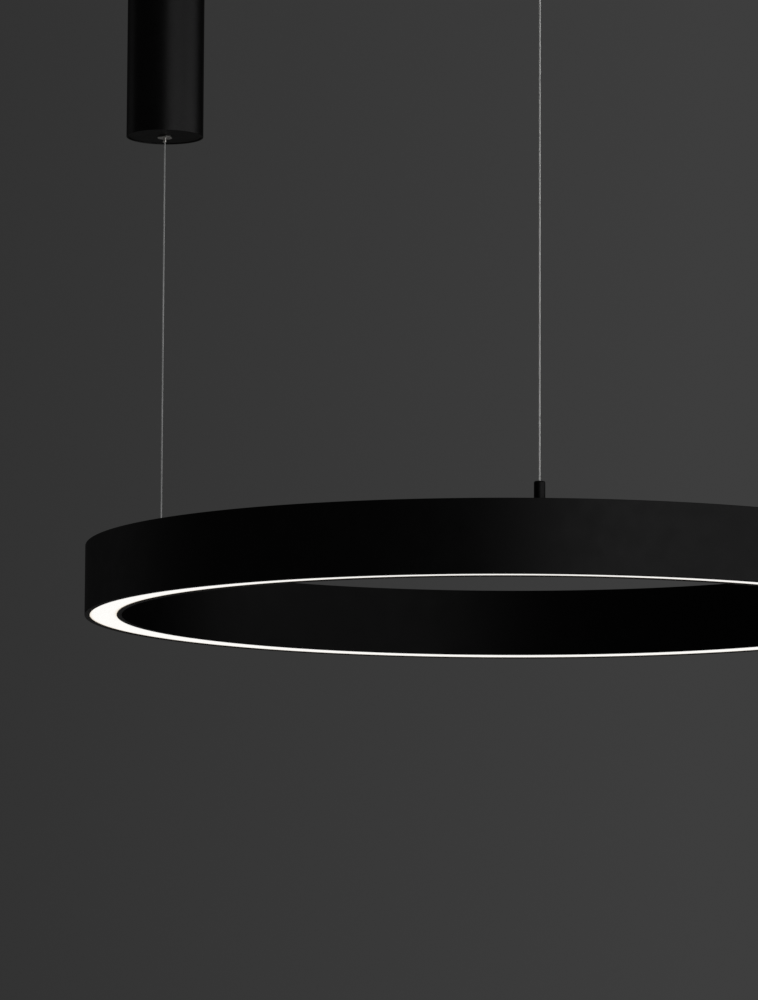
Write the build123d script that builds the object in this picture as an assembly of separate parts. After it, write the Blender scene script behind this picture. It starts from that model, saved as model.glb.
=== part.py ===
import os
from math import cos, pi, radians, sin, sqrt

from build123d import *

# Ring pendant light, in millimetres. The origin is on the ceiling plane, on the ring's axis.
# The viewer stands at -Y. Wire a is the nearest, b is left and behind, c is right and behind.

# Suspension
drop = 695.0  # ceiling plane to the ring's lower edge
wire_circle_r = 380.0
wire_r = 0.75
wire_tail = 34.0  # wire end above the face that its gripper's flange meets
station_angles = {"a": -90.0, "b": 150.0, "c": 30.0}
plain_stations = ("a", "c")
feed_station = "b"

# Ring: a rolled channel, open below, whose lips undercut the diffuser
ring_outer_r = 400.0
ring_inner_r = 365.0
ring_height = 66.0
ring_wall = 2.5
top_web = 3.0
lip_width = 5.0
lip_height = 5.0
inner_lip_rise = 0.75  # the inner lip ends a little higher than the outer one

# Diffuser: a flexible opal strip with leaning sides
diffuser_gap = 0.05
diffuser_recess = 0.9
diffuser_thickness = 3.0

# Light source: straight boards bonded under the web, with gaps at the barrels
board_count = 18
board_size = (12.0, 108.0, 1.6)
chips_per_board = 3
chip_size = (3.5, 2.8, 0.8)
feed_terminal_size = (12.0, 14.0, 9.0)

# Barrel on the ring's top face
barrel_r = 5.0
barrel_height = 17.0
barrel_chamfer = 1.0
barrel_bore_r = 1.0
stud_r = 4.0
stud_length = 12.5
stud_hole_r = 4.2
barrel_nut_size = (13.0, 5.0)  # across flats, height
stop_r = 2.2
stop_length = 5.0

# Driver canopy
canopy_r = 38.0
canopy_length = 200.0
canopy_wall = 2.0
cap_thickness = 3.0
cap_recess = 0.8
plate_r = 35.0
plate_thickness = 1.5
screw_hole_r = 2.25  # one ceiling screw in each fitting
mains_entry_r = 5.0
mains_entry_at = (14.0, -14.0)
tab_size = (1.5, 12.0, 10.0)
tab_face_r = 35.4
grub_r = 1.5

# Driver and its bracket inside the canopy
driver_size = (42.0, 21.0, 95.0)
driver_front_y = 6.0  # leaves the canopy's axis free for the ceiling screw and the wire's tail
driver_top_z = -24.0
driver_chamfer = 3.0
ear_size = (16.0, 2.0, 9.0)
bracket_width = 24.0
bracket_sheet = 1.5
bracket_foot = 16.0
terminal_size = (14.0, 24.0, 12.0)
terminal_at = (-20.0, -6.0)

# Small ceiling fittings of the two plain wires
cup_r = 16.0
cup_length = 70.0
cup_wall = 2.0
cup_floor = 3.0
cup_base_height = 9.0

# Wire gripper, heights above the face that its flange meets
flange_r = 7.25
flange_thickness = 1.8
shank_r = 5.0
shank_length = 22.0
guide_r = 1.66
cone_low = 4.0
cone_top_r = 4.0
roof_low = 20.5
roof_hole_r = 1.5
plunger_r = 1.6
plunger_bore_r = 0.95
nipple_length = 4.0
jaw_count = 3
jaw_low = 5.0
jaw_high = 12.0
jaw_face_r = 0.8
jaw_width = 1.4
jaw_play = 0.05
spring_mean_r = 2.2
spring_wire = 0.6
spring_play = 0.1
spring_turns = 2.25
runs_per_turn = 12

ring_z = -drop
ring_top_z = ring_z + ring_height
web_z = ring_top_z - top_web
board_mid_r = (ring_outer_r + ring_inner_r) / 2
canopy_bore_r = canopy_r - canopy_wall
cup_bore_r = cup_r - cup_wall
cap_low = cap_recess - canopy_length
gripper_z = {"a": -cup_length, "b": cap_low, "c": -cup_length}


def station(name, z=0.0):
    angle = radians(station_angles[name])
    return Pos(wire_circle_r * cos(angle), wire_circle_r * sin(angle), z)


def around(radius, angle, z):
    return Rot(0, 0, angle) * Pos(radius, 0, z)


def turned(points):
    return revolve(Plane.XZ * make_face(Polyline(*points, close=True)), Axis.Z)


def upright(radius, low, high):
    return Pos(0, 0, (low + high) / 2) * Cylinder(radius, high - low)


def hex_nut(size, hole_r, low):
    across, height = size
    body = extrude(RegularPolygon(across / 2, 6, major_radius=False), height)
    return Pos(0, 0, low) * (body - upright(hole_r, 0, height))


def ring_profile():
    outer_in, inner_in = ring_outer_r - ring_wall, ring_inner_r + ring_wall
    outline = [
        (ring_outer_r, 0),
        (ring_outer_r, ring_height),
        (ring_inner_r, ring_height),
        (ring_inner_r, inner_lip_rise),
        (ring_inner_r + lip_width, inner_lip_rise),
        (inner_in, inner_lip_rise + lip_height),
        (inner_in, ring_height - top_web),
        (outer_in, ring_height - top_web),
        (outer_in, lip_height),
        (ring_outer_r - lip_width, 0),
    ]
    profile = Pos(0, 0, ring_z) * turned(outline)
    for name in station_angles:
        profile -= station(name) * upright(stud_hole_r, web_z, ring_top_z)
    return profile


def diffuser():
    lean = (lip_width - ring_wall) / lip_height
    low, high = diffuser_recess, diffuser_recess + diffuser_thickness
    outer_r = ring_outer_r - lip_width - diffuser_gap
    inner_r = ring_inner_r + lip_width + diffuser_gap
    outline = [
        (outer_r + lean * low, low),
        (outer_r + lean * high, high),
        (inner_r - lean * high, high + inner_lip_rise),
        (inner_r - lean * low, low + inner_lip_rise),
    ]
    return Pos(0, 0, ring_z) * turned(outline)


def board_angles():
    step = 360.0 / board_count
    return [station_angles["a"] + step * (i + 0.5) for i in range(board_count)]


def led_boards():
    z = web_z - board_size[2] / 2
    return [around(board_mid_r, angle, z) * Box(*board_size) for angle in board_angles()]


def led_chips():
    pitch = board_size[1] / chips_per_board
    z = web_z - board_size[2] - chip_size[2] / 2
    offsets = [pitch * (i - (chips_per_board - 1) / 2) for i in range(chips_per_board)]
    return [
        around(board_mid_r, angle, z) * Pos(0, offset, 0) * Box(*chip_size)
        for angle in board_angles()
        for offset in offsets
    ]


def barrel(name):
    outline = [
        (barrel_bore_r, barrel_height),
        (barrel_r - barrel_chamfer, barrel_height),
        (barrel_r, barrel_height - barrel_chamfer),
        (barrel_r, 0),
        (stud_r, 0),
        (stud_r, -stud_length),
        (barrel_bore_r, -stud_length),
    ]
    return station(name, ring_top_z) * turned(outline)


def barrel_nut(name):
    return station(name, ring_top_z) * hex_nut(barrel_nut_size, stud_r, -top_web - barrel_nut_size[1])


def wire_stop(name):
    return station(name, ring_top_z) * upright(stop_r, -stud_length - stop_length, -stud_length)


def feed_terminal():
    middle = ring_top_z - stud_length - feed_terminal_size[2] / 2
    return station(feed_station, middle) * Rot(0, 0, station_angles[feed_station]) * Box(*feed_terminal_size)


def wire(name):
    return station(name) * upright(wire_r, ring_top_z - stud_length, gripper_z[name] + wire_tail)


def gripper_body(name):
    outline = [
        (guide_r, -flange_thickness),
        (flange_r, -flange_thickness),
        (flange_r, 0),
        (shank_r, 0),
        (shank_r, shank_length),
        (roof_hole_r, shank_length),
        (roof_hole_r, roof_low),
        (cone_top_r, roof_low),
        (guide_r, cone_low),
    ]
    return station(name, gripper_z[name]) * turned(outline)


def gripper_plunger(name):
    low = -flange_thickness - nipple_length
    plunger = upright(plunger_r, low, jaw_low) - upright(plunger_bore_r, low, jaw_low)
    return station(name, gripper_z[name]) * plunger


def jaw_back(height):
    # A flat-sided wedge clears the cone at its two back corners.
    lean = (cone_top_r - guide_r) / (roof_low - cone_low)
    cone_r = guide_r + lean * (height - cone_low)
    return sqrt(cone_r**2 - (jaw_width / 2) ** 2) - jaw_play


def gripper_jaws(name):
    side = [
        (jaw_face_r, jaw_low),
        (jaw_back(jaw_low), jaw_low),
        (jaw_back(jaw_high), jaw_high),
        (jaw_face_r, jaw_high),
    ]
    jaw = extrude(Plane.XZ * make_face(Polyline(*side, close=True)), jaw_width / 2, both=True)
    angles = [360 / jaw_count * i for i in range(jaw_count)]
    return [station(name, gripper_z[name]) * Rot(0, 0, angle) * jaw for angle in angles]


def gripper_spring(name):
    clear = spring_wire / 2 + spring_play
    low, high = jaw_high + clear, roof_low - clear
    count = round(spring_turns * runs_per_turn)
    turn = 2 * pi / runs_per_turn
    rise = (high - low) / count
    corners = [
        (spring_mean_r * cos(turn * i), spring_mean_r * sin(turn * i), rise * i) for i in range(count + 1)
    ]
    path = Polyline(*corners)
    start = Plane(path @ 0, x_dir=(0, 0, 1), z_dir=path % 0)
    coil = sweep(start * Rectangle(spring_wire, spring_wire), path, transition=Transition.RIGHT)
    return station(name, gripper_z[name] + low) * coil


def grub_angles():
    return (0, 180)


def canopy_grub(angle):
    length = canopy_r - tab_face_r
    z = -plate_thickness - tab_size[2] / 2
    return around(canopy_r - length / 2, angle, z) * Rot(0, 90, 0) * Cylinder(grub_r, length)


def canopy_plate():
    plate = upright(plate_r, -plate_thickness, 0)
    plate -= upright(screw_hole_r, -plate_thickness, 0)
    plate -= Pos(*mains_entry_at) * upright(mains_entry_r, -plate_thickness, 0)
    for angle in grub_angles():
        plate += around(tab_face_r - tab_size[0] / 2, angle, -tab_size[2] / 2) * Box(*tab_size)
    return station(feed_station) * plate


def canopy_tube():
    shell = upright(canopy_r, -canopy_length, 0) - upright(canopy_bore_r, -canopy_length, 0)
    for angle in grub_angles():
        shell -= canopy_grub(angle)
    return station(feed_station) * shell


def canopy_cap():
    high = cap_low + cap_thickness
    return station(feed_station) * (upright(canopy_bore_r, cap_low, high) - upright(shank_r, cap_low, high))


def led_driver():
    width, depth, height = driver_size
    back = driver_front_y + depth
    box = Pos(0, driver_front_y + depth / 2, driver_top_z - height / 2) * Box(width, depth, height)
    body = chamfer(box.edges().filter_by(Axis.Z).sort_by(Axis.Y)[:2], driver_chamfer)
    for z in (driver_top_z + ear_size[2] / 2, driver_top_z - height - ear_size[2] / 2):
        body += Pos(0, back - ear_size[1] / 2, z) * Box(*ear_size)
    return station(feed_station) * body


def driver_bracket():
    back = driver_front_y + driver_size[1]
    low = driver_top_z - driver_size[2] - ear_size[2]
    height = -plate_thickness - low
    strip = Pos(0, back + bracket_sheet / 2, low + height / 2) * Box(bracket_width, bracket_sheet, height)
    foot_z = -plate_thickness - bracket_sheet / 2
    foot = Pos(0, back - bracket_foot / 2, foot_z) * Box(bracket_width, bracket_foot, bracket_sheet)
    return station(feed_station) * (strip + foot)


def mains_terminal():
    z = -plate_thickness - terminal_size[2] / 2
    return station(feed_station) * Pos(*terminal_at, z) * Box(*terminal_size)


def cup_base(name):
    base = upright(cup_bore_r, -cup_base_height, 0) - upright(screw_hole_r, -cup_base_height, 0)
    return station(name) * base


def cup_shell(name):
    floor = cup_floor - cup_length
    shell = upright(cup_r, -cup_length, 0) - upright(cup_bore_r, floor, 0)
    return station(name) * (shell - upright(shank_r, -cup_length, floor))


def all_parts():
    parts = {
        "ring_profile": [ring_profile()],
        "diffuser": [diffuser()],
        "led_boards": led_boards(),
        "led_chips": led_chips(),
        "feed_terminal": [feed_terminal()],
        "barrels": [barrel(name) for name in station_angles],
        "barrel_nuts": [barrel_nut(name) for name in station_angles],
        "wire_stops": [wire_stop(name) for name in plain_stations],
        "gripper_bodies": [gripper_body(name) for name in station_angles],
        "canopy_plate": [canopy_plate()],
        "canopy_tube": [canopy_tube()],
        "canopy_cap": [canopy_cap()],
        "canopy_grubs": [station(feed_station) * canopy_grub(angle) for angle in grub_angles()],
        "led_driver": [led_driver()],
        "driver_bracket": [driver_bracket()],
        "mains_terminal": [mains_terminal()],
        "cup_bases": [cup_base(name) for name in plain_stations],
        "cup_shells": [cup_shell(name) for name in plain_stations],
    }
    for name in station_angles:
        parts[f"wire_{name}"] = [wire(name)]
        parts[f"gripper_plunger_{name}"] = [gripper_plunger(name)]
        parts[f"gripper_jaws_{name}"] = gripper_jaws(name)
        parts[f"gripper_spring_{name}"] = [gripper_spring(name)]
    return parts


os.makedirs("parts", exist_ok=True)
for node, pieces in all_parts().items():
    export_step(Compound(children=[s for piece in pieces for s in piece.solids()]), f"parts/{node}.step")
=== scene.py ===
from math import cos, pi, radians, sin

import bmesh
import bpy
from mathutils import Matrix, Vector


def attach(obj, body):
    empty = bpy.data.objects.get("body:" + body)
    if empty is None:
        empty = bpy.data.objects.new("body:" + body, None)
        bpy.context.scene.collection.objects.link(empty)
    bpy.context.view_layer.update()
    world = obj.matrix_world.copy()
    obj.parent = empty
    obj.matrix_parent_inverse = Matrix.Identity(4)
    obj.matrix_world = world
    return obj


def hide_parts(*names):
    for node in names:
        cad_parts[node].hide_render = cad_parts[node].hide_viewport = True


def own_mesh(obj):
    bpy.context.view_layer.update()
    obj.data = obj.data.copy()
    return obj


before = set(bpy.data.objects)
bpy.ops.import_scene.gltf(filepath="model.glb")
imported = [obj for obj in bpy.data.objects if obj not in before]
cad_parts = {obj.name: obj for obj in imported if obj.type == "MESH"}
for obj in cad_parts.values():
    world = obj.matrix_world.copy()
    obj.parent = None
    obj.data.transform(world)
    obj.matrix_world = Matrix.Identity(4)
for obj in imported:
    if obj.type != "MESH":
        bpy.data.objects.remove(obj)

scene = bpy.context.scene
scene.view_settings.view_transform = "Standard"
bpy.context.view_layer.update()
mm = 0.001
stations = {"a": -90.0, "b": 150.0, "c": 30.0}  # degrees round the ring: near, left under the driver, right
hang = {"wireCircle": 380 * mm, "ringLow": -695 * mm, "ringTop": -629 * mm}
gripperZ = {"a": -70 * mm, "b": -199.2 * mm, "c": -70 * mm}  # the face that each gripper's flange meets
print("frame loaded:", len(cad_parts), "nodes")


def stationAt(name, z=0.0):
    turn = radians(stations[name])
    return Vector((hang["wireCircle"] * cos(turn), hang["wireCircle"] * sin(turn), z))


# camera, fitted to the photograph
view = {"place": (-0.3259, -4.7677, -1.1741), "turn": -2.4285, "up": 7.064, "roll": 0.259, "lens": 183.376,
        "sensor": 36, "farEnd": 200}
cameraData = bpy.data.cameras.new("viewer")
cameraData.lens = view["lens"]
cameraData.sensor_width = view["sensor"]
cameraData.clip_end = view["farEnd"]
camera = bpy.data.objects.new("viewer", cameraData)
scene.collection.objects.link(camera)
camera.matrix_world = (
    Matrix.Translation(view["place"])
    @ Matrix.Rotation(radians(view["turn"]), 4, "Z")
    @ Matrix.Rotation(radians(90 + view["up"]), 4, "X")
    @ Matrix.Rotation(radians(view["roll"]), 4, "Z")
)
scene.camera = camera
print("camera ready")


# small helpers for finishes
noiseSpan = (0.3, 0.7)  # most values of a noise lie between these


def addNode(tree, kind, **settings):
    node = tree.nodes.new("ShaderNode" + kind)
    for setting, value in settings.items():
        setattr(node, setting, value)
    return node


def newFinish(name):
    finish = bpy.data.materials.new(name)
    finish.use_nodes = True
    tree = finish.node_tree
    place = addNode(tree, "TexCoord").outputs["Object"]
    return finish, tree, tree.nodes["Principled BSDF"], place


def addNoise(tree, place, scale, detail=2.0, stretch=None):
    if stretch:
        mapping = addNode(tree, "Mapping")
        mapping.inputs["Scale"].default_value = stretch
        tree.links.new(place, mapping.inputs["Vector"])
        place = mapping.outputs["Vector"]
    noise = addNode(tree, "TexNoise")
    noise.inputs["Scale"].default_value = scale
    noise.inputs["Detail"].default_value = detail
    tree.links.new(place, noise.inputs["Vector"])
    return noise.outputs["Fac"]


def addRange(tree, source, target, low, high, fromLow=noiseSpan[0], fromHigh=noiseSpan[1]):
    spread = addNode(tree, "MapRange")
    for socket, value in (("From Min", fromLow), ("From Max", fromHigh), ("To Min", low), ("To Max", high)):
        spread.inputs[socket].default_value = value
    tree.links.new(source, spread.inputs["Value"])
    if target:
        tree.links.new(spread.outputs["Result"], target)
    return spread.outputs["Result"]


def addRamp(tree, source, target, stops):
    ramp = addNode(tree, "ValToRGB")
    while len(ramp.color_ramp.elements) < len(stops):
        ramp.color_ramp.elements.new(0.5)
    for element, (position, colour) in zip(ramp.color_ramp.elements, stops):
        element.position = position
        element.color = (*colour, 1)
    tree.links.new(source, ramp.inputs["Fac"])
    tree.links.new(ramp.outputs["Color"], target)
    return ramp.outputs["Color"]


def addTones(tree, noise, target, dark, light):
    return addRamp(tree, noise, target, [(noiseSpan[0], dark), (noiseSpan[1], light)])


def addBump(tree, shader, height, strength, depth):
    bump = addNode(tree, "Bump")
    bump.inputs["Strength"].default_value = strength
    bump.inputs["Distance"].default_value = depth
    tree.links.new(height, bump.inputs["Height"])
    tree.links.new(bump.outputs["Normal"], shader.inputs["Normal"])


def reachFromAxis(tree, place):
    # distance from the ring's axis
    flat = addNode(tree, "VectorMath", operation="MULTIPLY")
    flat.inputs[1].default_value = (1, 1, 0)
    reach = addNode(tree, "VectorMath", operation="LENGTH")
    tree.links.new(place, flat.inputs[0])
    tree.links.new(flat.outputs["Vector"], reach.inputs[0])
    return reach.outputs["Value"]


# black coats
anodised = {"dark": (0.0092, 0.0092, 0.0093), "light": (0.014, 0.0139, 0.014), "rough": (0.42, 0.48),
            "grain": 1900, "depth": 0.02 * mm, "edge": (0.48, 0.48, 0.48),
            "inside": (0.5, 0.5, 0.5), "turn": (365.5 * mm, 366.5 * mm)}  # ring, with painted shade making its inner wall half as light, and barrels
powder = {"dark": (0.0142, 0.0141, 0.0144), "light": (0.0222, 0.022, 0.0221), "rough": (0.35, 0.41),
          "grain": 1100, "depth": 0.05 * mm, "edge": (0.44, 0.44, 0.44)}  # ceiling fittings
blackened = {"dark": (0.02, 0.02, 0.021), "light": (0.028, 0.028, 0.029), "rough": (0.34, 0.42),
             "grain": 2600, "depth": 0.01 * mm, "edge": (0.5, 0.5, 0.5)}  # grub screws
coatGrain = {"detail": 3, "bump": 0.6, "patches": 60, "patchDetail": 4}


def blackFinish(name, coat):
    finish, tree, shader, place = newFinish(name)
    shader.inputs["Metallic"].default_value = 1.0
    shader.inputs["Specular Tint"].default_value = (*coat["edge"], 1)
    grain = addNoise(tree, place, coat["grain"], coatGrain["detail"])
    colour = addTones(tree, grain, shader.inputs["Base Color"], coat["dark"], coat["light"])
    # painted shade: the ring's inner wall is written half as light as its outside, for the shade it gets under the
    # lamps
    if "inside" in coat:
        paintedShadeInside = addNode(tree, "Mix", data_type="RGBA", blend_type="MULTIPLY")
        paintedShadeInside.inputs["B"].default_value = (*coat["inside"], 1)
        addRange(tree, reachFromAxis(tree, place), paintedShadeInside.inputs["Factor"], 1, 0, *coat["turn"])
        tree.links.new(colour, paintedShadeInside.inputs["A"])
        tree.links.new(paintedShadeInside.outputs["Result"], shader.inputs["Base Color"])
    patches = addNoise(tree, place, coatGrain["patches"], coatGrain["patchDetail"])
    addRange(tree, patches, shader.inputs["Roughness"], *coat["rough"])
    addBump(tree, shader, grain, coatGrain["bump"], coat["depth"])
    return finish


# lit strip, warmer along its rims
opal = {"middle": (1.0, 0.985, 0.955), "rim": (0.9, 0.78, 0.62), "rimShare": 0.1, "glow": 0.68,
        "edges": (369.7 * mm, 395.3 * mm), "dark": (0.82, 0.81, 0.79), "light": (0.86, 0.85, 0.83),
        "clouds": 60, "grain": 900, "rough": (0.38, 0.5)}


def litOpal():
    finish, tree, shader, place = newFinish("litOpal")
    across = addRange(tree, reachFromAxis(tree, place), None, 0, 1, *opal["edges"])
    addRamp(tree, across, shader.inputs["Emission Color"], [
        (0.0, opal["rim"]), (opal["rimShare"], opal["middle"]),
        (1 - opal["rimShare"], opal["middle"]), (1.0, opal["rim"])])
    shader.inputs["Emission Strength"].default_value = opal["glow"]
    addTones(tree, addNoise(tree, place, opal["clouds"]), shader.inputs["Base Color"], opal["dark"], opal["light"])
    addRange(tree, addNoise(tree, place, opal["grain"]), shader.inputs["Roughness"], *opal["rough"])
    return finish


# bare metals, with fine marks that may run one way
metals = {
    "wireSteel": {"dark": (0.62, 0.62, 0.61), "light": (0.76, 0.76, 0.75), "rough": (0.45, 0.58),
                  "marks": 700, "stretch": (1, 1, 0.2)},
    "satinNickel": {"dark": (0.11, 0.107, 0.102), "light": (0.15, 0.146, 0.138), "rough": (0.3, 0.42),
                    "marks": 300, "stretch": (1, 1, 9)},
    "brightNickel": {"dark": (0.5, 0.485, 0.46), "light": (0.6, 0.585, 0.555), "rough": (0.24, 0.34),
                     "marks": 300, "stretch": (1, 1, 9)},
    "jawBrass": {"dark": (0.62, 0.42, 0.16), "light": (0.78, 0.57, 0.26), "rough": (0.28, 0.42), "marks": 900},
    "springSteel": {"dark": (0.34, 0.34, 0.35), "light": (0.5, 0.5, 0.51), "rough": (0.25, 0.38), "marks": 1100},
    "zincSteel": {"dark": (0.56, 0.58, 0.6), "light": (0.64, 0.65, 0.67), "rough": (0.34, 0.44),
                  "marks": 1500, "stretch": (1, 0.03, 1)},
}
metalMarks = {"detail": 3, "bump": 0.3, "depth": 0.004 * mm}


def metalFinish(name):
    metal = metals[name]
    finish, tree, shader, place = newFinish(name)
    shader.inputs["Metallic"].default_value = 1.0
    marks = addNoise(tree, place, metal["marks"], metalMarks["detail"], metal.get("stretch"))
    addTones(tree, marks, shader.inputs["Base Color"], metal["dark"], metal["light"])
    addRange(tree, marks, shader.inputs["Roughness"], *metal["rough"])
    addBump(tree, shader, marks, metalMarks["bump"], metalMarks["depth"])
    return finish


# moulded plastics and the boards' white mask
plastics = {
    "boardWhite": {"dark": (0.78, 0.78, 0.76), "light": (0.86, 0.86, 0.84), "rough": (0.3, 0.4), "grain": 700},
    "driverPlastic": {"dark": (0.72, 0.72, 0.7), "light": (0.8, 0.8, 0.78), "rough": (0.42, 0.55), "grain": 1400},
    "terminalPlastic": {"dark": (0.42, 0.43, 0.44), "light": (0.52, 0.53, 0.54), "rough": (0.4, 0.5),
                        "grain": 1200},
}
moulding = {"clouds": 45, "cloudDetail": 3, "bump": 0.4, "depth": 0.02 * mm}


def mouldedFinish(name):
    plastic = plastics[name]
    finish, tree, shader, place = newFinish(name)
    clouds = addNoise(tree, place, moulding["clouds"], moulding["cloudDetail"])
    addTones(tree, clouds, shader.inputs["Base Color"], plastic["dark"], plastic["light"])
    grain = addNoise(tree, place, plastic["grain"])
    addRange(tree, grain, shader.inputs["Roughness"], *plastic["rough"])
    addBump(tree, shader, grain, moulding["bump"], moulding["depth"])
    return finish


# the feed wire's sheath, drawn lengthwise
sheath = {"dark": (0.19, 0.19, 0.19), "light": (0.27, 0.27, 0.27), "rough": (0.25, 0.4), "lines": 900, "detail": 3,
          "stretch": (1, 1, 0.05), "bump": 0.2, "depth": 0.01 * mm}


def greySheath():
    finish, tree, shader, place = newFinish("greySheath")
    lines = addNoise(tree, place, sheath["lines"], sheath["detail"], sheath["stretch"])
    addTones(tree, lines, shader.inputs["Base Color"], sheath["dark"], sheath["light"])
    addRange(tree, lines, shader.inputs["Roughness"], *sheath["rough"])
    addBump(tree, shader, lines, sheath["bump"], sheath["depth"])
    return finish


# chips: a glowing lens in a white frame
phosphor = {"frame": (0.8, 0.8, 0.78), "dark": (0.85, 0.62, 0.12), "light": (0.95, 0.76, 0.25), "unlit": (0, 0, 0),
            "glowDark": (1.0, 0.88, 0.7), "glowLight": (1.0, 0.93, 0.8), "glow": 1.0, "cells": 1200,
            "rough": (0.35, 0.5)}


def ledPhosphor():
    finish, tree, shader, place = newFinish("ledPhosphor")
    lens = addNode(tree, "Attribute", attribute_name="lens")  # 1 on the lens, 0 on its frame
    cells = addNoise(tree, place, phosphor["cells"])
    for target, around, dark, light in (("Base Color", "frame", "dark", "light"),
                                        ("Emission Color", "unlit", "glowDark", "glowLight")):
        either = addNode(tree, "Mix", data_type="RGBA")
        either.inputs["A"].default_value = (*phosphor[around], 1)
        addTones(tree, cells, either.inputs["B"], phosphor[dark], phosphor[light])
        tree.links.new(lens.outputs["Fac"], either.inputs["Factor"])
        tree.links.new(either.outputs["Result"], shader.inputs[target])
    shader.inputs["Emission Strength"].default_value = phosphor["glow"]
    addRange(tree, cells, shader.inputs["Roughness"], *phosphor["rough"])
    return finish


finishes = {
    "black": blackFinish("blackAnodised", anodised),
    "powder": blackFinish("blackPowder", powder),
    "opal": litOpal(),
    "wire": metalFinish("wireSteel"),
    "nickel": metalFinish("satinNickel"),
    "bright": metalFinish("brightNickel"),
    "brass": metalFinish("jawBrass"),
    "spring": metalFinish("springSteel"),
    "zinc": metalFinish("zincSteel"),
    "grub": blackFinish("blackenedSteel", blackened),
    "board": mouldedFinish("boardWhite"),
    "phosphor": ledPhosphor(),
    "driver": mouldedFinish("driverPlastic"),
    "terminal": mouldedFinish("terminalPlastic"),
    "sheath": greySheath(),
}
print("finishes ready:", len(finishes))


# small helpers for pieces
meshing = {"mergeWithin": 1e-7, "sharpFrom": 34, "flatWithin": 1, "evenWeight": 100, "turnedSteps": 3,
           "edgeSteps": 2, "drillSides": 32}  # sharpFrom and flatWithin in degrees


def keepPiece(name, bm, finish, body, replaced=(), sharpFrom=meshing["sharpFrom"], even=True):
    bmesh.ops.remove_doubles(bm, verts=bm.verts[:], dist=meshing["mergeWithin"])
    bmesh.ops.recalc_face_normals(bm, faces=bm.faces[:])
    for face in bm.faces:
        face.smooth = True
    for edge in bm.edges:
        edge.smooth = edge.calc_face_angle(0.0) < radians(sharpFrom)
    piece = keepMesh(name, meshFrom(name, bm), finish, body, replaced)
    if even:
        evenShading(piece)
    return piece


def meshFrom(name, bm):
    mesh = bpy.data.meshes.new(name)
    bm.to_mesh(mesh)
    bm.free()
    return mesh


def keepMesh(name, mesh, finish, body, replaced=()):
    mesh.materials.clear()
    mesh.materials.append(finishes[finish])
    piece = bpy.data.objects.new(name, mesh)
    scene.collection.objects.link(piece)
    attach(piece, body)
    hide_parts(*replaced)
    return piece


def evenShading(piece):
    # flat walls stay flat beside their rounded edges
    shade = piece.modifiers.new("evenShading", "WEIGHTED_NORMAL")
    shade.weight = meshing["evenWeight"]
    shade.keep_sharp = True


def allOf(bm):
    return bm.verts[:] + bm.edges[:] + bm.faces[:]


def vertsOf(parts):
    return [part for part in parts if isinstance(part, bmesh.types.BMVert)]


def copyOf(bm, parts):
    return vertsOf(bmesh.ops.duplicate(bm, geom=parts)["geom"])


def moveAll(bm, spot):
    bmesh.ops.translate(bm, verts=bm.verts[:], vec=spot)


def placeCopies(bm, spots):
    # the shape at the origin goes to each spot
    first = allOf(bm)
    for spot in spots[1:]:
        bmesh.ops.translate(bm, verts=copyOf(bm, first), vec=spot)
    bmesh.ops.translate(bm, verts=vertsOf(first), vec=spots[0])


def roundOff(bm, parts, size, steps=meshing["edgeSteps"], affect="EDGES"):
    bmesh.ops.bevel(bm, geom=parts, offset=size * mm, offset_type="OFFSET", segments=steps, profile=0.5,
                    affect=affect, material=-1)


def turnProfile(bm, corners, steps):
    # corners are (radius, height, rounding) in millimetres, turned round the Z axis
    verts = [bm.verts.new((radius * mm, 0, height * mm)) for radius, height, rounding in corners]
    bm.faces.new(verts)
    for size in sorted({corner[2] for corner in corners if corner[2]}):
        picked = [vert for vert, corner in zip(verts, corners) if corner[2] == size]
        roundOff(bm, picked, size, meshing["turnedSteps"], "VERTICES")
    outline = bm.faces[:][0]
    loop = outline.verts[:] + outline.edges[:]
    bmesh.ops.delete(bm, geom=[outline], context="FACES_ONLY")
    bmesh.ops.spin(bm, geom=loop, cent=(0, 0, 0), axis=(0, 0, 1), angle=2 * pi, steps=steps, use_merge=True)


def pullOut(bm, faces, way):
    grown = bmesh.ops.extrude_face_region(bm, geom=faces)["geom"]
    bmesh.ops.translate(bm, verts=vertsOf(grown), vec=way)


def shift(x, y, z):
    return Matrix.Translation((x * mm, y * mm, z * mm))


def addBlock(bm, size, place):
    bmesh.ops.create_cube(bm, size=mm, matrix=place @ Matrix.Diagonal((*size, 1)))


def roundedBlock(bm, size, place, edge):
    addBlock(bm, size, place)
    roundOff(bm, bm.edges[:], edge)


def drillInto(bm, place, radius, length, sides=meshing["drillSides"]):
    bmesh.ops.create_cone(bm, cap_ends=True, segments=sides, radius1=radius * mm, radius2=radius * mm,
                          depth=length * mm, matrix=place)


def cutHoles(piece, bm):
    # takes the shapes in bm out of the piece
    drill = bpy.data.objects.new("drill", meshFrom("drill", bm))
    scene.collection.objects.link(drill)
    piece.modifiers.clear()
    cut = piece.modifiers.new("holes", "BOOLEAN")
    cut.operation = "DIFFERENCE"
    cut.solver = "EXACT"
    cut.object = drill
    bpy.context.view_layer.update()
    cutMesh = bpy.data.meshes.new_from_object(piece.evaluated_get(bpy.context.evaluated_depsgraph_get()))
    piece.modifiers.clear()
    piece.data = cutMesh
    evenShading(piece)
    bpy.data.objects.remove(drill)


# suspension wires, from inside the barrel to inside the ceiling fitting
wires = {"low": -641.5 * mm, "barrelTop": -612 * mm, "tail": 34 * mm, "nipple": -5.8 * mm, "size": 1.5 * mm,
         "straight": 9 * mm, "detail": 420, "coarse": 21, "sheathSides": 3}
strands = {"count": 12, "layLength": 13 * mm, "reach": 4, "sides": 1}  # reach in strand radii


def meshFromCurve(curve):
    holder = bpy.data.objects.new(curve.name, curve)
    scene.collection.objects.link(holder)
    bpy.context.view_layer.update()
    mesh = bpy.data.meshes.new_from_object(holder)
    bpy.data.objects.remove(holder)
    return mesh


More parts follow.
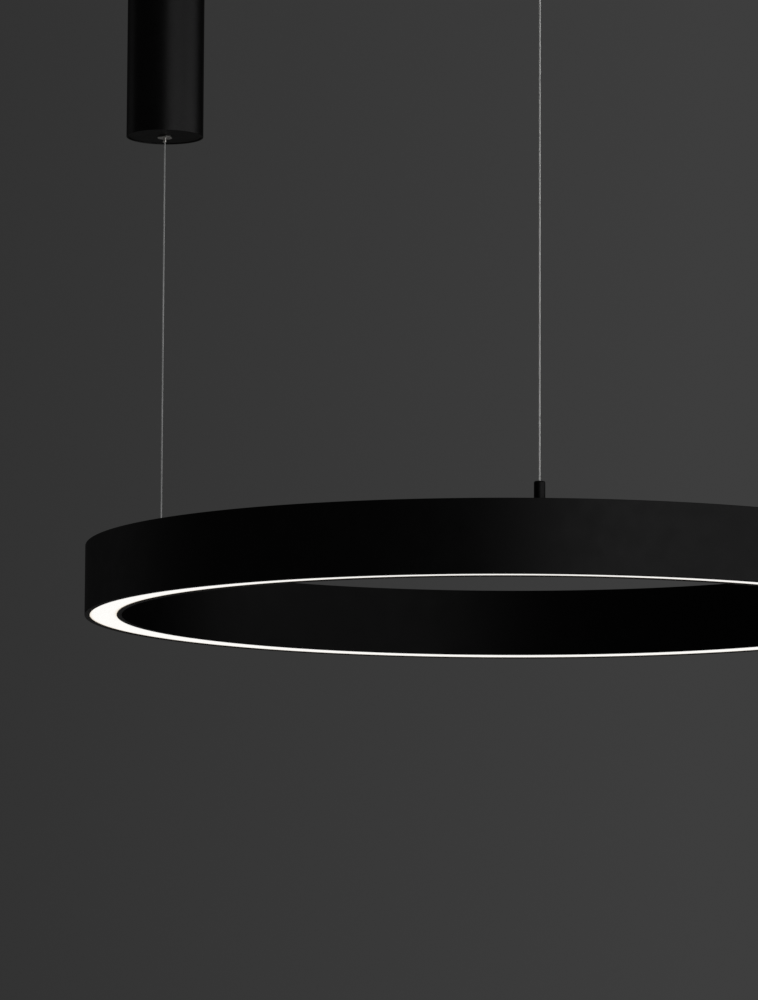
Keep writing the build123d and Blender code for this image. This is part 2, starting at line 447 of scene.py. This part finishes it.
def wireRoute(name):
    heights = [wires["low"], wires["barrelTop"] + wires["straight"],
               gripperZ[name] + wires["nipple"] - wires["straight"], gripperZ[name] + wires["tail"]]
    curve = bpy.data.curves.new("route", "CURVE")
    curve.dimensions = "3D"
    curve.resolution_u = wires["detail"]
    spline = curve.splines.new("NURBS")
    spline.points.add(len(heights) - 1)
    for point, height in zip(spline.points, heights):
        point.co = (*stationAt(name, height), 1)
    spline.order_u = 3
    spline.use_endpoint_u = True
    return [vert.co.copy() for vert in meshFromCurve(curve).vertices]


def tubesAlong(name, lines, radius, sides):
    curve = bpy.data.curves.new(name, "CURVE")
    curve.dimensions = "3D"
    curve.bevel_depth = radius
    curve.bevel_resolution = sides
    curve.use_fill_caps = True
    for line in lines:
        spline = curve.splines.new("POLY")
        spline.points.add(len(line) - 1)
        for point, spot in zip(spline.points, line):
            point.co = (*spot, 1)
    mesh = meshFromCurve(curve)
    mesh.shade_smooth()
    return mesh


def straightLine(points):
    # a line without twist needs fewer points
    return points[::wires["coarse"]] + points[-1:]


def twistedStrands(points):
    strand = wires["size"] / 2 / (strands["reach"] + 1)
    lines = [straightLine(points)]
    for index in range(strands["count"]):
        line, run = [], 0.0
        for here, before in zip(points, [points[0], *points]):
            run += (here - before).length
            turn = 2 * pi * (run / strands["layLength"] + index / strands["count"])
            line.append(here + Vector((cos(turn), sin(turn), 0)) * strands["reach"] * strand)
        lines.append(line)
    return lines, strand


crimp = {"radius": 2.2, "waist": 1.9, "length": 5, "slope": 0.3, "core": 0.3, "edge": 0.3, "waistEdge": 0.2,
         "steps": 40, "low": -646.5 * mm}


def crimpedStop(name):
    third = crimp["length"] / 3
    bm = bmesh.new()
    turnProfile(bm, [
        (crimp["core"], crimp["length"], 0),
        (crimp["radius"], crimp["length"], crimp["edge"]),
        (crimp["radius"], 2 * third + crimp["slope"], crimp["waistEdge"]),
        (crimp["waist"], 2 * third, crimp["waistEdge"]),
        (crimp["waist"], third, crimp["waistEdge"]),
        (crimp["radius"], third - crimp["slope"], crimp["waistEdge"]),
        (crimp["radius"], 0, crimp["edge"]),
        (crimp["core"], 0, 0),
    ], crimp["steps"])
    moveAll(bm, stationAt(name, crimp["low"]))
    return keepPiece("wireStop" + name.upper(), bm, "zinc", "ring", ["wire_stops"])


for name in stations:
    points = wireRoute(name)
    title = "wire" + name.upper()
    ends = []
    if name == "b":  # the feed wire has a smooth sheath
        mesh = tubesAlong(title, [straightLine(points)], wires["size"] / 2, wires["sheathSides"])
        wire = keepMesh(title, mesh, "sheath", "ring", ["wire_" + name])
    else:
        lines, strand = twistedStrands(points)
        mesh = tubesAlong(title, lines, strand, strands["sides"])
        wire = keepMesh(title, mesh, "wire", "ring", ["wire_" + name])
        ends = [crimpedStop(name)]


# ring: channel with leaning lips, and the opal strip held in them
ring = {"outer": 400, "inner": 365, "height": 66, "wall": 2.5, "web": 3, "lip": 5, "lipHeight": 5, "lipRise": 0.75,
        "edge": 0.5, "lipEdge": 0.25, "steps": 360, "hole": 4.2, "holeDeep": 12, "holeSides": 40}


def ringChannel():
    outerIn, innerIn = ring["outer"] - ring["wall"], ring["inner"] + ring["wall"]
    bm = bmesh.new()
    turnProfile(bm, [
        (ring["outer"], 0, ring["edge"]),
        (ring["outer"], ring["height"], ring["edge"]),
        (ring["inner"], ring["height"], ring["edge"]),
        (ring["inner"], ring["lipRise"], ring["edge"]),
        (ring["inner"] + ring["lip"], ring["lipRise"], ring["lipEdge"]),
        (innerIn, ring["lipRise"] + ring["lipHeight"], 0),
        (innerIn, ring["height"] - ring["web"], 0),
        (outerIn, ring["height"] - ring["web"], 0),
        (outerIn, ring["lipHeight"], 0),
        (ring["outer"] - ring["lip"], 0, ring["lipEdge"]),
    ], ring["steps"])
    moveAll(bm, (0, 0, hang["ringLow"]))
    piece = keepPiece("ringChannel", bm, "black", "ring", ["ring_profile"])
    holes = bmesh.new()
    for name in stations:
        drillInto(holes, Matrix.Translation(stationAt(name, hang["ringTop"])), ring["hole"], ring["holeDeep"],
                  ring["holeSides"])
    cutHoles(piece, holes)


strip = {"gap": 0.05, "recess": 0.9, "thick": 3.0, "edge": 0.2}


def opalStrip():
    lean = (ring["lip"] - ring["wall"]) / ring["lipHeight"]
    low, high = strip["recess"], strip["recess"] + strip["thick"]
    outer = ring["outer"] - ring["lip"] - strip["gap"]
    inner = ring["inner"] + ring["lip"] + strip["gap"]
    bm = bmesh.new()
    turnProfile(bm, [
        (outer + lean * low, low, strip["edge"]),
        (outer + lean * high, high, strip["edge"]),
        (inner - lean * high, high + ring["lipRise"], strip["edge"]),
        (inner - lean * low, low + ring["lipRise"], strip["edge"]),
    ], ring["steps"])
    moveAll(bm, (0, 0, hang["ringLow"]))
    keepPiece("opalStrip", bm, "opal", "ring", ["diffuser"])


ringChannel()
opalStrip()
print("ring done")


# barrels that take the wires on the ring's top face
barrel = {"radius": 5, "height": 17, "round": 1.4, "foot": 0.25, "bore": 1.0, "mouth": 0.35, "stud": 4,
          "studLength": 12.5, "studEdge": 0.3, "steps": 64}


def wireBarrels():
    bm = bmesh.new()
    turnProfile(bm, [
        (barrel["bore"], barrel["height"], barrel["mouth"]),
        (barrel["radius"], barrel["height"], barrel["round"]),
        (barrel["radius"], 0, barrel["foot"]),
        (barrel["stud"], 0, 0),
        (barrel["stud"], -barrel["studLength"], barrel["studEdge"]),
        (barrel["bore"], -barrel["studLength"], 0),
    ], barrel["steps"])
    placeCopies(bm, [stationAt(name, hang["ringTop"]) for name in stations])
    keepPiece("wireBarrels", bm, "black", "ring", ["barrels"])


wireBarrels()
print("barrels done")


# driver canopy: tube, inset cap and its two grub screws
canopy = {"radius": 38, "length": 200, "wall": 2, "edge": 0.4, "topEdge": 0.2, "capThick": 3, "capRecess": 0.8,
          "capHole": 5, "capEdge": 0.5, "steps": 128}
grub = {"radius": 1.5, "z": -6.5, "length": 2.6, "sunk": 0.45, "edge": 0.2, "socket": 0.75, "socketDeep": 0.9,
        "steps": 48, "drill": 90}


def canopyTube():
    bore = canopy["radius"] - canopy["wall"]
    bm = bmesh.new()
    turnProfile(bm, [
        (canopy["radius"], -canopy["length"], canopy["edge"]),
        (canopy["radius"], 0, canopy["topEdge"]),
        (bore, 0, canopy["topEdge"]),
        (bore, -canopy["length"], canopy["edge"]),
    ], canopy["steps"])
    moveAll(bm, stationAt("b"))
    piece = keepPiece("canopyTube", bm, "powder", "ceiling_fittings", ["canopy_tube"])
    holes = bmesh.new()
    seat = Matrix.Translation(stationAt("b", grub["z"] * mm))
    drillInto(holes, seat @ Matrix.Rotation(pi / 2, 4, "Y"), grub["radius"], grub["drill"])
    cutHoles(piece, holes)


def canopyCap():
    bore, low = canopy["radius"] - canopy["wall"], canopy["capRecess"] - canopy["length"]
    bm = bmesh.new()
    turnProfile(bm, [
        (canopy["capHole"], low, 0),
        (bore, low, canopy["capEdge"]),
        (bore, low + canopy["capThick"], 0),
        (canopy["capHole"], low + canopy["capThick"], 0),
    ], canopy["steps"])
    moveAll(bm, stationAt("b"))
    keepPiece("canopyCap", bm, "powder", "ceiling_fittings", ["canopy_cap"])


def canopyGrubs():
    # a hexagon socket set screw, face outwards, sunk a little below the tube's outside
    bm = bmesh.new()
    bmesh.ops.create_circle(bm, cap_ends=False, segments=grub["steps"], radius=grub["radius"] * mm)
    rim = bm.edges[:]
    loop = rim
    for reach, rise in ((grub["radius"] - grub["edge"], grub["edge"]), (grub["socket"], grub["edge"]),
                        (grub["socket"], -grub["socketDeep"])):
        made = bmesh.ops.extrude_edge_only(bm, edges=loop)["geom"]
        verts = vertsOf(made)
        loop = [part for part in made if isinstance(part, bmesh.types.BMEdge) and set(part.verts) <= set(verts)]
        for vert in verts:
            side = vert.co.xy.normalized()
            if reach == grub["socket"]:  # these two follow the hexagon
                turn = (vert.co.xy.angle_signed(Vector((1, 0))) + 2 * pi) % (pi / 3) - pi / 6
                side /= cos(turn)
            vert.co = (*(side * reach * mm), rise * mm)
    bmesh.ops.contextual_create(bm, geom=loop)
    back = vertsOf(bmesh.ops.extrude_edge_only(bm, edges=rim)["geom"])
    bmesh.ops.translate(bm, verts=back, vec=(0, 0, (grub["sunk"] - grub["length"]) * mm))
    bmesh.ops.contextual_create(bm, geom=[edge for edge in bm.edges if edge.is_boundary])
    first = allOf(bm)
    second = copyOf(bm, first)
    seat = stationAt("b", grub["z"] * mm)
    for verts, side in ((vertsOf(first), 1), (second, -1)):
        spot = Matrix.Translation(seat + Vector((side * (canopy["radius"] - grub["sunk"]) * mm, 0, 0)))
        bmesh.ops.transform(bm, verts=verts, matrix=spot @ Matrix.Rotation(side * pi / 2, 4, "Y"))
    keepPiece("canopyGrubs", bm, "grub", "ceiling_fittings", ["canopy_grubs"])


canopyTube()
canopyCap()
canopyGrubs()
print("canopy done")


# small ceiling cups of the two plain wires
cup = {"radius": 16, "length": 70, "wall": 2, "floor": 3, "round": 1.2, "topEdge": 0.2, "hole": 5, "baseHeight": 9,
       "baseEdge": 0.3, "baseRound": 0.8, "screw": 2.25, "screwEdge": 0.4, "steps": 96}


def ceilingCups():
    bore = cup["radius"] - cup["wall"]
    spots = [stationAt(name) for name in ("a", "c")]
    bm = bmesh.new()
    turnProfile(bm, [
        (cup["hole"], -cup["length"], 0),
        (cup["radius"], -cup["length"], cup["round"]),
        (cup["radius"], 0, cup["topEdge"]),
        (bore, 0, cup["topEdge"]),
        (bore, cup["floor"] - cup["length"], 0),
        (cup["hole"], cup["floor"] - cup["length"], 0),
    ], cup["steps"])
    placeCopies(bm, spots)
    keepPiece("cupShells", bm, "powder", "ceiling_fittings", ["cup_shells"])
    bm = bmesh.new()
    turnProfile(bm, [
        (cup["screw"], 0, cup["screwEdge"]),
        (bore, 0, cup["baseEdge"]),
        (bore, -cup["baseHeight"], cup["baseRound"]),
        (cup["screw"], -cup["baseHeight"], cup["screwEdge"]),
    ], cup["steps"])
    placeCopies(bm, spots)
    keepPiece("cupBases", bm, "zinc", "ceiling_fittings", ["cup_bases"])


ceilingCups()
print("cups done")


# wire grippers: flanged body, release plunger and the spring that keeps the jaws shut
gripper = {"flange": 7.25, "flangeThick": 1.8, "flangeEdge": 0.45, "seatEdge": 0.15, "shank": 5, "shankLength": 22,
           "shankEdge": 0.4, "guide": 1.66, "guideEdge": 0.25, "coneLow": 4, "coneTop": 4, "roofLow": 20.5,
           "roofHole": 1.5, "roofEdge": 0.2, "steps": 64}
plunger = {"radius": 1.6, "edge": 0.3, "bore": 0.95, "mouth": 0.12, "nipple": 4, "top": 5, "steps": 40}
coil = {"radius": 2.2, "wire": 0.25, "low": 12.4, "high": 20.1, "turns": 5.5, "perTurn": 20, "stroke": 2.5,
        "sides": 8, "sharpFrom": 60}


def gripperBodies():
    bm = bmesh.new()
    turnProfile(bm, [
        (gripper["guide"], -gripper["flangeThick"], gripper["guideEdge"]),
        (gripper["flange"], -gripper["flangeThick"], gripper["flangeEdge"]),
        (gripper["flange"], 0, gripper["seatEdge"]),
        (gripper["shank"], 0, 0),
        (gripper["shank"], gripper["shankLength"], gripper["shankEdge"]),
        (gripper["roofHole"], gripper["shankLength"], gripper["roofEdge"]),
        (gripper["roofHole"], gripper["roofLow"], 0),
        (gripper["coneTop"], gripper["roofLow"], 0),
        (gripper["guide"], gripper["coneLow"], 0),
    ], gripper["steps"])
    placeCopies(bm, [stationAt(name, gripperZ[name]) for name in stations])
    keepPiece("gripperBodies", bm, "nickel", "ceiling_fittings", ["gripper_bodies"])


def releasePlunger(name):
    low = -gripper["flangeThick"] - plunger["nipple"]
    bm = bmesh.new()
    turnProfile(bm, [
        (plunger["bore"], low, plunger["mouth"]),
        (plunger["radius"], low, plunger["edge"]),
        (plunger["radius"], plunger["top"], 0),
        (plunger["bore"], plunger["top"], 0),
    ], plunger["steps"])
    moveAll(bm, stationAt(name, gripperZ[name]))
    keepPiece("releasePlunger" + name.upper(), bm, "bright", "plunger_" + name,
              ["gripper_plunger_" + name])


def jawSpring(name):
    seat = stationAt(name, gripperZ[name])
    steps = round(coil["turns"] * coil["perTurn"])
    bm = bmesh.new()
    bmesh.ops.create_circle(bm, cap_ends=True, segments=coil["sides"], radius=coil["wire"] * mm, matrix=(
        Matrix.Translation(seat + Vector((coil["radius"] * mm, 0, coil["low"] * mm)))
        @ Matrix.Rotation(pi / 2, 4, "X")))
    bmesh.ops.spin(bm, geom=allOf(bm), cent=seat, axis=(0, 0, 1), steps=steps, angle=2 * pi * coil["turns"],
                   dvec=(0, 0, (coil["high"] - coil["low"]) * mm / steps))
    spring = keepPiece("jawSpring" + name.upper(), bm, "spring", "plunger_" + name,
                       ["gripper_spring_" + name], coil["sharpFrom"], False)
    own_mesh(spring)


gripperBodies()
for name in stations:
    releasePlunger(name)
    jawSpring(name)
print("grippers done")


# jaws: three toothed wedges in each gripper
jaw = {"low": 5, "high": 12, "face": 0.8, "backLow": 1.61, "backHigh": 2.655, "width": 1.4, "teeth": 14,
       "tooth": 0.15, "count": 3}


def wireJaws(name):
    bm = bmesh.new()
    corners = [bm.verts.new((reach * mm, -jaw["width"] / 2 * mm, height * mm)) for reach, height in (
        (jaw["face"], jaw["low"]), (jaw["backLow"], jaw["low"]), (jaw["backHigh"], jaw["high"]),
        (jaw["face"], jaw["high"]))]
    bm.faces.new(corners)
    grip = [edge for edge in bm.edges if set(edge.verts) == {corners[0], corners[3]}]
    cuts = bmesh.ops.subdivide_edges(bm, edges=grip, cuts=2 * jaw["teeth"] - 1)["geom_inner"]
    notches = sorted(vertsOf(cuts), key=lambda vert: vert.co.z)
    bmesh.ops.translate(bm, verts=notches[::2], vec=(jaw["tooth"] * mm, 0, 0))
    pullOut(bm, bm.faces[:], (0, jaw["width"] * mm, 0))
    first = allOf(bm)
    for index in range(1, jaw["count"]):
        bmesh.ops.rotate(bm, verts=copyOf(bm, first), matrix=Matrix.Rotation(2 * pi * index / jaw["count"], 3, "Z"))
    moveAll(bm, stationAt(name, gripperZ[name]))
    keepPiece("wireJaws" + name.upper(), bm, "brass", "plunger_" + name, ["gripper_jaws_" + name])


for name in stations:
    wireJaws(name)
print("jaws done")


# light source under the ring's web: boards, solder pads and chips
light = {"reach": 382.5, "boards": 18, "web": -632, "board": (12, 108, 1.6), "edge": 0.3, "pad": (2.4, 3, 0.12),
         "padAt": (3.2, 51), "padEdge": 0.04}
chip = {"at": (-36, 0, 36), "size": (3.5, 2.8, 0.8), "edge": 0.15, "frame": 0.4, "sunk": 0.25}


def alongRing(bm, spots):
    # the shape at the origin goes to each spot on each board
    first = allOf(bm)
    for index in range(light["boards"]):
        turn = Matrix.Rotation(radians(stations["a"] + 360 / light["boards"] * (index + 0.5)), 4, "Z")
        for x, y, z in spots:
            bmesh.ops.transform(bm, verts=copyOf(bm, first),
                                matrix=turn @ shift(light["reach"] + x, y, light["web"] + z))
    bmesh.ops.delete(bm, geom=vertsOf(first), context="VERTS")


def ledBoards():
    thick = light["board"][2]
    bm = bmesh.new()
    roundedBlock(bm, light["board"], Matrix(), light["edge"])
    alongRing(bm, [(0, 0, -thick / 2)])
    keepPiece("ledBoards", bm, "board", "ring", ["led_boards"])
    bm = bmesh.new()
    roundedBlock(bm, light["pad"], Matrix(), light["padEdge"])
    across, along = light["padAt"]
    under = -thick - light["pad"][2] / 2
    alongRing(bm, [(x, y, under) for x in (-across, across) for y in (-along, along)])
    keepPiece("solderPads", bm, "zinc", "ring")


def ledChips():
    bm = bmesh.new()
    lens = bm.faces.layers.float.new("lens")
    roundedBlock(bm, chip["size"], Matrix(), chip["edge"])
    low = min(bm.faces, key=lambda face: face.calc_center_median().z)
    bmesh.ops.inset_individual(bm, faces=[low], thickness=chip["frame"] * mm, depth=-chip["sunk"] * mm)
    low[lens] = 1.0
    under = -light["board"][2] - chip["size"][2] / 2
    alongRing(bm, [(0, y, under) for y in chip["at"]])
    keepPiece("ledChips", bm, "phosphor", "ring", ["led_chips"])


ledBoards()
ledChips()
print("light source done")


# nuts on the barrels' studs, and the terminal where the feed wire ends
nut = {"corner": 7.506, "height": 5, "low": -637, "edge": 0.35, "hole": 4.05, "drill": 9}
feed = {"size": (12, 14, 9), "middle": -646, "edge": 0.7, "poles": (-3.2, 3.2), "entry": (2.4, 11, 2.8),
        "entryRise": 0.8, "slot": (0.9, 3.4, 3)}


def barrelNuts():
    bm = bmesh.new()
    bmesh.ops.create_cone(bm, cap_ends=True, segments=6, radius1=nut["corner"] * mm, radius2=nut["corner"] * mm,
                          depth=nut["height"] * mm, matrix=Matrix.Rotation(pi / 6, 4, "Z"))
    roundOff(bm, bm.edges[:], nut["edge"])
    spots = [stationAt(name, (nut["low"] + nut["height"] / 2) * mm) for name in stations]
    placeCopies(bm, spots)
    piece = keepPiece("barrelNuts", bm, "zinc", "ring", ["barrel_nuts"])
    holes = bmesh.new()
    for spot in spots:
        drillInto(holes, Matrix.Translation(spot), nut["hole"], nut["drill"])
    cutHoles(piece, holes)


def feedTerminal():
    seat = Matrix.Translation(stationAt("b", feed["middle"] * mm)) @ Matrix.Rotation(radians(stations["b"]), 4, "Z")
    _, deep, high = feed["size"]
    bm = bmesh.new()
    roundedBlock(bm, feed["size"], seat, feed["edge"])
    piece = keepPiece("feedTerminal", bm, "terminal", "ring", ["feed_terminal"])
    holes = bmesh.new()
    for pole in feed["poles"]:
        for side in (-1, 1):  # a lead enters from the boards on each side
            addBlock(holes, feed["entry"], seat @ shift(pole, side * deep / 2, feed["entryRise"]))
        addBlock(holes, feed["slot"], seat @ shift(pole, 0, -high / 2))
    cutHoles(piece, holes)


barrelNuts()
feedTerminal()
print("ring inside done")


# inside the canopy: mains terminal, driver and its bracket
terminal = {"size": (14, 24, 12), "at": (-20, -6, -7.5), "edge": 0.6, "poles": (-8, 0, 8), "entry": 1.7,
            "entryDeep": 5, "entryRise": 1, "well": 2.1, "wellDeep": 3.4, "groove": (16, 0.7, 2.4), "grooves": (-4, 4)}
screw = {"head": 1.9, "high": 1.2, "edge": 0.15, "rimFrom": 60, "slot": (5, 0.5, 1.2)}
driver = {"case": (42, 15, 95), "caseAt": (0, 19.5, -71.5), "lid": (42, 6, 95), "lidAt": (0, 9, -71.5), "corner": 3,
          "edge": 0.4, "ear": 9, "earHalf": 8, "earThick": 2, "earHole": 1.7, "drill": 12, "slot": (3.4, 3.8, 14),
          "slotAt": -2, "slotsTop": (-13, 0, 13), "slotsLow": (-7, 7)}
bracket = {"width": 24, "sheet": 1.5, "back": 28.5, "front": 11, "top": -1.5, "low": -128, "bend": 2.2,
           "bendSteps": 4, "hole": 1.7, "drill": 8, "footHoles": (-7, 7), "footIn": 5}


def mainsTerminal():
    seat = Matrix.Translation(stationAt("b")) @ shift(*terminal["at"])
    wide, _, high = terminal["size"]
    bm = bmesh.new()
    roundedBlock(bm, terminal["size"], seat, terminal["edge"])
    piece = keepPiece("mainsTerminal", bm, "terminal", "ceiling_fittings", ["mains_terminal"])
    holes = bmesh.new()
    for pole in terminal["poles"]:
        for side in (-1, 1):
            spot = seat @ shift(side * wide / 2, pole, terminal["entryRise"])
            drillInto(holes, spot @ Matrix.Rotation(pi / 2, 4, "Y"), terminal["entry"], 2 * terminal["entryDeep"])
        drillInto(holes, seat @ shift(0, pole, -high / 2), terminal["well"], 2 * terminal["wellDeep"])
    for between in terminal["grooves"]:
        addBlock(holes, terminal["groove"], seat @ shift(0, between, -high / 2))
    cutHoles(piece, holes)
    bm, slots = bmesh.new(), bmesh.new()
    bottom = terminal["wellDeep"] - high / 2
    for pole in terminal["poles"]:
        drillInto(bm, seat @ shift(0, pole, bottom - screw["high"] / 2), screw["head"], screw["high"])
        addBlock(slots, screw["slot"], seat @ shift(0, pole, bottom - screw["high"]))
    rims = [edge for edge in bm.edges if edge.calc_face_angle(0.0) > radians(screw["rimFrom"])]
    roundOff(bm, rims, screw["edge"])
    cutHoles(keepPiece("terminalScrews", bm, "zinc", "ceiling_fittings"), slots)


def driverCase():
    seat = Matrix.Translation(stationAt("b")) @ shift(*driver["caseAt"])
    _, deep, high = driver["case"]
    earFront = (deep / 2 - driver["earThick"]) * mm
    bm = bmesh.new()
    addBlock(bm, driver["case"], Matrix())
    for spot, normal in (((driver["earHalf"] * mm, 0, 0), (1, 0, 0)), ((-driver["earHalf"] * mm, 0, 0), (1, 0, 0)),
                         ((0, earFront, 0), (0, 1, 0))):
        bmesh.ops.bisect_plane(bm, geom=allOf(bm), plane_co=spot, plane_no=normal)
    for side in (-1, 1):  # a screw ear at each end, from the middle of the end's rear strip
        ends = [face for face in bm.faces if round(face.normal.z) == side
                and abs(face.calc_center_median().x) < driver["earHalf"] * mm
                and face.calc_center_median().y > earFront]
        pullOut(bm, ends, (0, 0, side * driver["ear"] * mm))
        bmesh.ops.delete(bm, geom=ends, context="FACES_ONLY")
    bmesh.ops.dissolve_limit(bm, angle_limit=radians(meshing["flatWithin"]), verts=bm.verts[:], edges=bm.edges[:])
    roundOff(bm, bm.edges[:], driver["edge"])
    bmesh.ops.transform(bm, verts=bm.verts[:], matrix=seat)
    piece = keepPiece("driverCase", bm, "driver", "ceiling_fittings", ["led_driver"])
    holes = bmesh.new()
    for side, slots in ((1, driver["slotsTop"]), (-1, driver["slotsLow"])):
        end = side * high / 2
        spot = seat @ shift(0, deep / 2, end + side * driver["ear"] / 2)
        drillInto(holes, spot @ Matrix.Rotation(pi / 2, 4, "X"), driver["earHole"], driver["drill"])
        for slot in slots:
            addBlock(holes, driver["slot"], seat @ shift(slot, driver["slotAt"], end))
    cutHoles(piece, holes)


def driverLid():
    seat = Matrix.Translation(stationAt("b")) @ shift(*driver["lidAt"])
    bm = bmesh.new()
    addBlock(bm, driver["lid"], Matrix())
    corners = [edge for edge in bm.edges if all(vert.co.y < 0 for vert in edge.verts)
               and edge.verts[0].co.x == edge.verts[1].co.x]
    roundOff(bm, corners, driver["corner"], 1)
    roundOff(bm, bm.edges[:], driver["edge"])
    bmesh.ops.transform(bm, verts=bm.verts[:], matrix=seat)
    keepPiece("driverLid", bm, "driver", "ceiling_fittings")


def driverBracket():
    seat, sheet = Matrix.Translation(stationAt("b")), bracket["sheet"]
    bm = bmesh.new()
    corners = [bm.verts.new((-bracket["width"] / 2 * mm, y * mm, z * mm)) for y, z in (
        (bracket["front"], bracket["top"]), (bracket["back"], bracket["top"]), (bracket["back"], bracket["low"]),
        (bracket["back"] - sheet, bracket["low"]), (bracket["back"] - sheet, bracket["top"] - sheet),
        (bracket["front"], bracket["top"] - sheet))]
    bm.faces.new(corners)
    for corner, size in ((corners[1], bracket["bend"]), (corners[4], bracket["bend"] - sheet)):
        roundOff(bm, [corner], size, bracket["bendSteps"], "VERTICES")
    pullOut(bm, bm.faces[:], (bracket["width"] * mm, 0, 0))
    bmesh.ops.transform(bm, verts=bm.verts[:], matrix=seat)
    piece = keepPiece("driverBracket", bm, "zinc", "ceiling_fittings", ["driver_bracket"])
    holes = bmesh.new()
    for side in (-1, 1):  # behind the driver's ears
        z = driver["caseAt"][2] + side * (driver["case"][2] + driver["ear"]) / 2
        spot = seat @ shift(0, bracket["back"], z)
        drillInto(holes, spot @ Matrix.Rotation(pi / 2, 4, "X"), bracket["hole"], bracket["drill"])
    for x in bracket["footHoles"]:
        spot = seat @ shift(x, bracket["front"] + bracket["footIn"], bracket["top"])
        drillInto(holes, spot, bracket["hole"], bracket["drill"])
    cutHoles(piece, holes)


mainsTerminal()
driverCase()
driverLid()
driverBracket()
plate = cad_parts["canopy_plate"]  # keeps its own shape
plate.data.materials.clear()
plate.data.materials.append(finishes["zinc"])
print("canopy inside done")


# stage: pale floor far below, grey wall colour behind that is lighter to the right, soft light
stage = {"floor": -2.5, "reach": 14, "steps": 96, "floorColour": (0.74, 0.735, 0.725), "floorGloss": 0.1,
         "floorNoise": 3, "floorDetail": 3, "floorRough": (0.7, 0.85), "fade": (5.5, 12.0),
         "wallLeft": (0.031, 0.031, 0.031), "wallRight": (0.0478, 0.0478, 0.0478), "wallTurn": (-0.045, 0.105),
         "ambient": 0.32}
lamps = {
    "frontBox": {"place": (2.9, -5.1, -0.5), "aim": (0, 0, -0.55), "size": (5.6, 3.4), "power": 45, "spread": 120},
    "sideBox": {"place": (5.58, -0.73, -0.5), "aim": (0, 0, -0.55), "size": (5.6, 3.4), "power": 43, "spread": 120},
    "backBox": {"place": (-4.67, 3.27, -0.3), "aim": (0, 0, -0.55), "size": (3.2, 3.4), "power": 8, "spread": 120},
    "topBox": {"place": (0.6, 0.2, 3.2), "aim": (0, 0, -0.6), "size": (3.4, 3.4), "power": 40, "spread": 160},
}


def larger(tree, first, second):
    pick = addNode(tree, "Math", operation="MAXIMUM")
    tree.links.new(first, pick.inputs[0])
    tree.links.new(second, pick.inputs[1])
    return pick.outputs["Value"]


def mixShaders(tree, share, first, second, end):
    mix = addNode(tree, "MixShader")
    tree.links.new(share, mix.inputs["Fac"])
    tree.links.new(first, mix.inputs[1])
    tree.links.new(second, mix.inputs[2])
    tree.links.new(mix.outputs["Shader"], tree.nodes[end].inputs["Surface"])


def paleFloor():
    bm = bmesh.new()
    bmesh.ops.create_circle(bm, cap_ends=True, segments=stage["steps"], radius=stage["reach"],
                            matrix=Matrix.Translation((0, 0, stage["floor"])))
    mesh = meshFrom("paleFloor", bm)
    finish, tree, shader, place = newFinish("paleFloor")
    shader.inputs["Base Color"].default_value = (*stage["floorColour"], 1)
    shader.inputs["Specular IOR Level"].default_value = stage["floorGloss"]
    patches = addNoise(tree, place, stage["floorNoise"], stage["floorDetail"])
    addRange(tree, patches, shader.inputs["Roughness"], *stage["floorRough"])
    # open from below, and gone far away, where the wall takes over
    gone = addRange(tree, reachFromAxis(tree, place), None, 0, 1, *stage["fade"])
    under = addNode(tree, "NewGeometry").outputs["Backfacing"]
    mixShaders(tree, larger(tree, gone, under), shader.outputs["BSDF"],
               addNode(tree, "BsdfTransparent").outputs["BSDF"], "Material Output")
    mesh.materials.append(finish)
    floor = bpy.data.objects.new("paleFloor", mesh)
    scene.collection.objects.link(floor)


def softWorld():
    world = bpy.data.worlds.new("studio")
    scene.world = world
    world.use_nodes = True
    tree = world.node_tree
    ambient = tree.nodes["Background"]
    ambient.inputs["Color"].default_value = (1, 1, 1, 1)
    ambient.inputs["Strength"].default_value = stage["ambient"]
    wall = addNode(tree, "Background")
    side = addNode(tree, "SeparateXYZ")  # how far to the right a direction points
    tree.links.new(addNode(tree, "TexCoord").outputs["Generated"], side.inputs["Vector"])
    across = addRange(tree, side.outputs["X"], None, 0, 1, *stage["wallTurn"])
    addRamp(tree, across, wall.inputs["Color"], [(0.0, stage["wallLeft"]), (1.0, stage["wallRight"])])
    path = addNode(tree, "LightPath")
    seen = path.outputs["Is Camera Ray"]
    for other in ("Is Glossy Ray", "Is Transmission Ray"):
        seen = larger(tree, seen, path.outputs[other])
    mixShaders(tree, seen, ambient.outputs["Background"], wall.outputs["Background"], "World Output")


def softLamp(name, lamp):
    data = bpy.data.lights.new(name, "AREA")
    data.shape = "RECTANGLE"
    data.size, data.size_y = lamp["size"]
    data.energy = lamp["power"]
    data.spread = radians(lamp["spread"])
    box = bpy.data.objects.new(name, data)
    scene.collection.objects.link(box)
    aim = Vector(lamp["aim"]) - Vector(lamp["place"])
    box.matrix_world = Matrix.Translation(lamp["place"]) @ aim.to_track_quat("-Z", "Y").to_matrix().to_4x4()
    box.visible_camera = False


paleFloor()
softWorld()
for name, lamp in lamps.items():
    softLamp(name, lamp)
print("stage ready")

bpy.context.view_layer.update()
